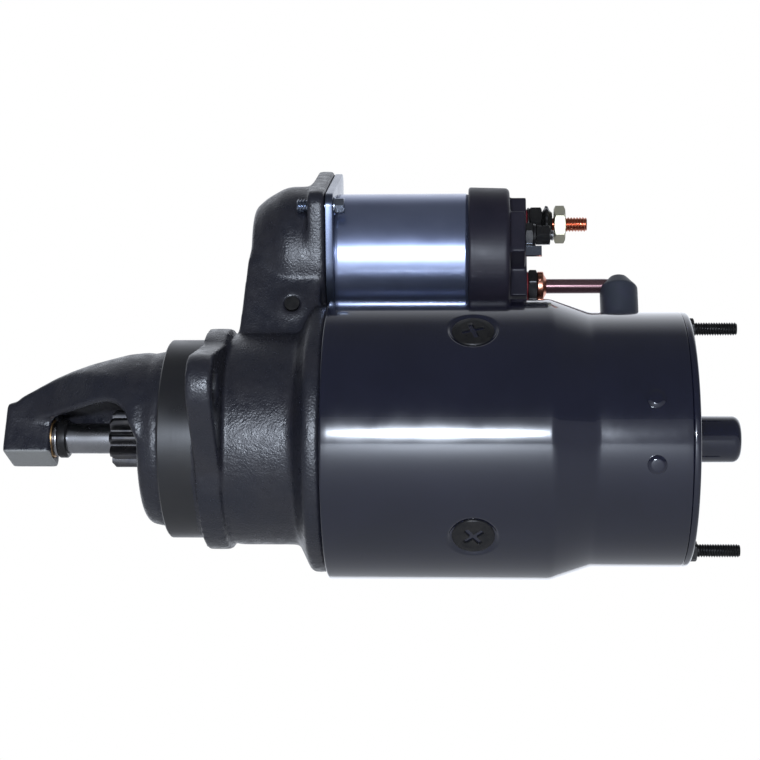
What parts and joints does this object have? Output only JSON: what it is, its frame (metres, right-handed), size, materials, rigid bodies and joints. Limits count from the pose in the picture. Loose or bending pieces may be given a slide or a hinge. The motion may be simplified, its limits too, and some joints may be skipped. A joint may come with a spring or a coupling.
{
  "type": "starter motor",
  "caption": "Direct-drive starter motor: open-nosed cast drive housing, round field frame, solenoid on top with shift lever, sliding pinion and clutch inside.",
  "frame": {"origin": "on the shaft axis, in the plane of the mounting flange's front face", "axes": "+X along the shaft towards the commutator end, -X towards the nose and pinion, +Z towards the solenoid"},
  "size_m": [0.3047, 0.1466, 0.1901],
  "materials": {
    "cast_iron_black": "satin black paint on rough casting",
    "gloss_black": "gloss black enamel",
    "dark_zinc": "bright zinc plate",
    "case_steel": "glossy dark lacquer on steel",
    "phenolic": "satin moulded phenolic",
    "copper": "bright copper",
    "brass_nut": "yellow passivated",
    "black_oxide": "black oxide",
    "rubber": "moulded rubber",
    "steel": "machined steel",
    "bronze": "sintered bronze",
    "winding": "varnished copper winding",
    "carbon": "copper-graphite",
    "nylon": "moulded nylon",
    "laminations": "laminated steel",
    "lead_lacquer": "lacquered copper rod"
  },
  "bodies": {
    "motor": {"drive_housing": "cast_iron_black", "nose_bushing": "bronze", "lever_pivot_pin": "black_oxide", "pivot_pin_ring": "steel", "solenoid_screws": "dark_zinc", "field_frame": "gloss_black", "pole_shoes": "laminations", "field_coils": "winding", "pole_screws": "black_oxide", "brush_support_1": "steel", "brush_support_2": "steel", "brush_support_screws": "gloss_black", "end_frame": "gloss_black", "end_bushing": "bronze", "through_bolts": "black_oxide", "solenoid_plate": "dark_zinc", "solenoid_case": "case_steel", "solenoid_bobbin": "nylon", "solenoid_winding": "winding", "solenoid_core": "steel", "solenoid_cap": "phenolic", "battery_stud": "copper", "battery_nut": "black_oxide", "battery_washer": "black_oxide", "battery_jam_nut": "brass_nut", "motor_stud": "copper", "motor_nut": "black_oxide", "switch_stud": "steel", "switch_nut": "black_oxide", "relay_terminal": "dark_zinc", "field_lead": "lead_lacquer", "lead_boot": "rubber"},
    "plunger_body": {"plunger": "steel", "return_spring": "steel"},
    "contact_body": {"contact_rod": "steel", "contact_disc": "copper", "contact_spring": "steel"},
    "lever_body": {"shift_lever": "steel"},
    "armature_body": {"armature_shaft": "steel", "armature_core": "laminations", "armature_windings": "winding", "commutator": "copper", "pinion_stop": "black_oxide", "thrust_collar": "steel"},
    "collar_body": {"shift_collar": "steel", "mesh_spring": "steel"},
    "clutch_body": {"clutch_shell": "steel", "clutch_sleeve": "steel", "sleeve_ring": "steel"},
    "pinion_body": {"pinion_gear": "steel"},
    "brush_body_1": {"brush_arm_1": "steel", "brush_1": "carbon"},
    "brush_body_2": {"brush_arm_2": "steel", "brush_2": "carbon"},
    "brush_body_3": {"brush_arm_3": "steel", "brush_3": "carbon"},
    "brush_body_4": {"brush_arm_4": "steel", "brush_4": "carbon"}
  },
  "joints": [
    {"name": "plunger_slide", "type": "slide", "parent": "motor", "child": "plunger_body", "axis": [1, 0, 0], "range_m": [0, 0.01192], "stiffness_N_per_m": 1500, "springref_m": -0.01, "deforming": ["return_spring"]},
    {"name": "lever_swing", "type": "hinge", "parent": "motor", "child": "lever_body", "pos_m": [0.0337, 0, 0.052], "axis": [0, 1, 0], "range_deg": [0, 20.4]},
    {"name": "contact_slide", "type": "slide", "parent": "motor", "child": "contact_body", "axis": [1, 0, 0], "range_m": [0, 0.00275], "deforming": ["contact_spring"]},
    {"name": "armature_spin", "type": "hinge", "parent": "motor", "child": "armature_body", "pos_m": [0, 0, 0], "axis": [1, 0, 0], "continuous": true},
    {"name": "drive_slide", "type": "slide", "parent": "armature_body", "child": "collar_body", "axis": [1, 0, 0], "range_m": [-0.01851, 0]},
    {"name": "clutch_turn", "type": "hinge", "parent": "collar_body", "child": "clutch_body", "pos_m": [0, 0, 0], "axis": [1, 0, 0], "range_deg": [0, 30.3]},
    {"name": "pinion_overrun", "type": "hinge", "parent": "clutch_body", "child": "pinion_body", "pos_m": [0, 0, 0], "axis": [1, 0, 0], "continuous": true},
    {"name": "brush_lift_1", "type": "hinge", "parent": "motor", "child": "brush_body_1", "pos_m": [0.1617, -0.04104, -0.01333], "axis": [1, 0, 0], "range_deg": [0, 12], "stiffness_Nm_per_rad": 0.4, "springref_deg": -17.19},
    {"name": "brush_lift_2", "type": "hinge", "parent": "motor", "child": "brush_body_2", "pos_m": [0.1617, -0.04104, -0.01333], "axis": [-1, 0, 0], "range_deg": [0, 12], "stiffness_Nm_per_rad": 0.4, "springref_deg": -17.19},
    {"name": "brush_lift_3", "type": "hinge", "parent": "motor", "child": "brush_body_3", "pos_m": [0.1617, 0.04104, 0.01333], "axis": [1, 0, 0], "range_deg": [0, 12], "stiffness_Nm_per_rad": 0.4, "springref_deg": -17.19},
    {"name": "brush_lift_4", "type": "hinge", "parent": "motor", "child": "brush_body_4", "pos_m": [0.1617, 0.04104, 0.01333], "axis": [-1, 0, 0], "range_deg": [0, 12], "stiffness_Nm_per_rad": 0.4, "springref_deg": -17.19}
  ],
  "couplings": [
    {"joint": "lever_swing", "follows": "plunger_slide", "rad_per_m": 29.851},
    {"joint": "contact_slide", "follows": "plunger_slide", "ratio": 0.2307},
    {"joint": "drive_slide", "follows": "plunger_slide", "ratio": -1.5522},
    {"joint": "clutch_turn", "follows": "plunger_slide", "rad_per_m": 44.3}
  ]
}
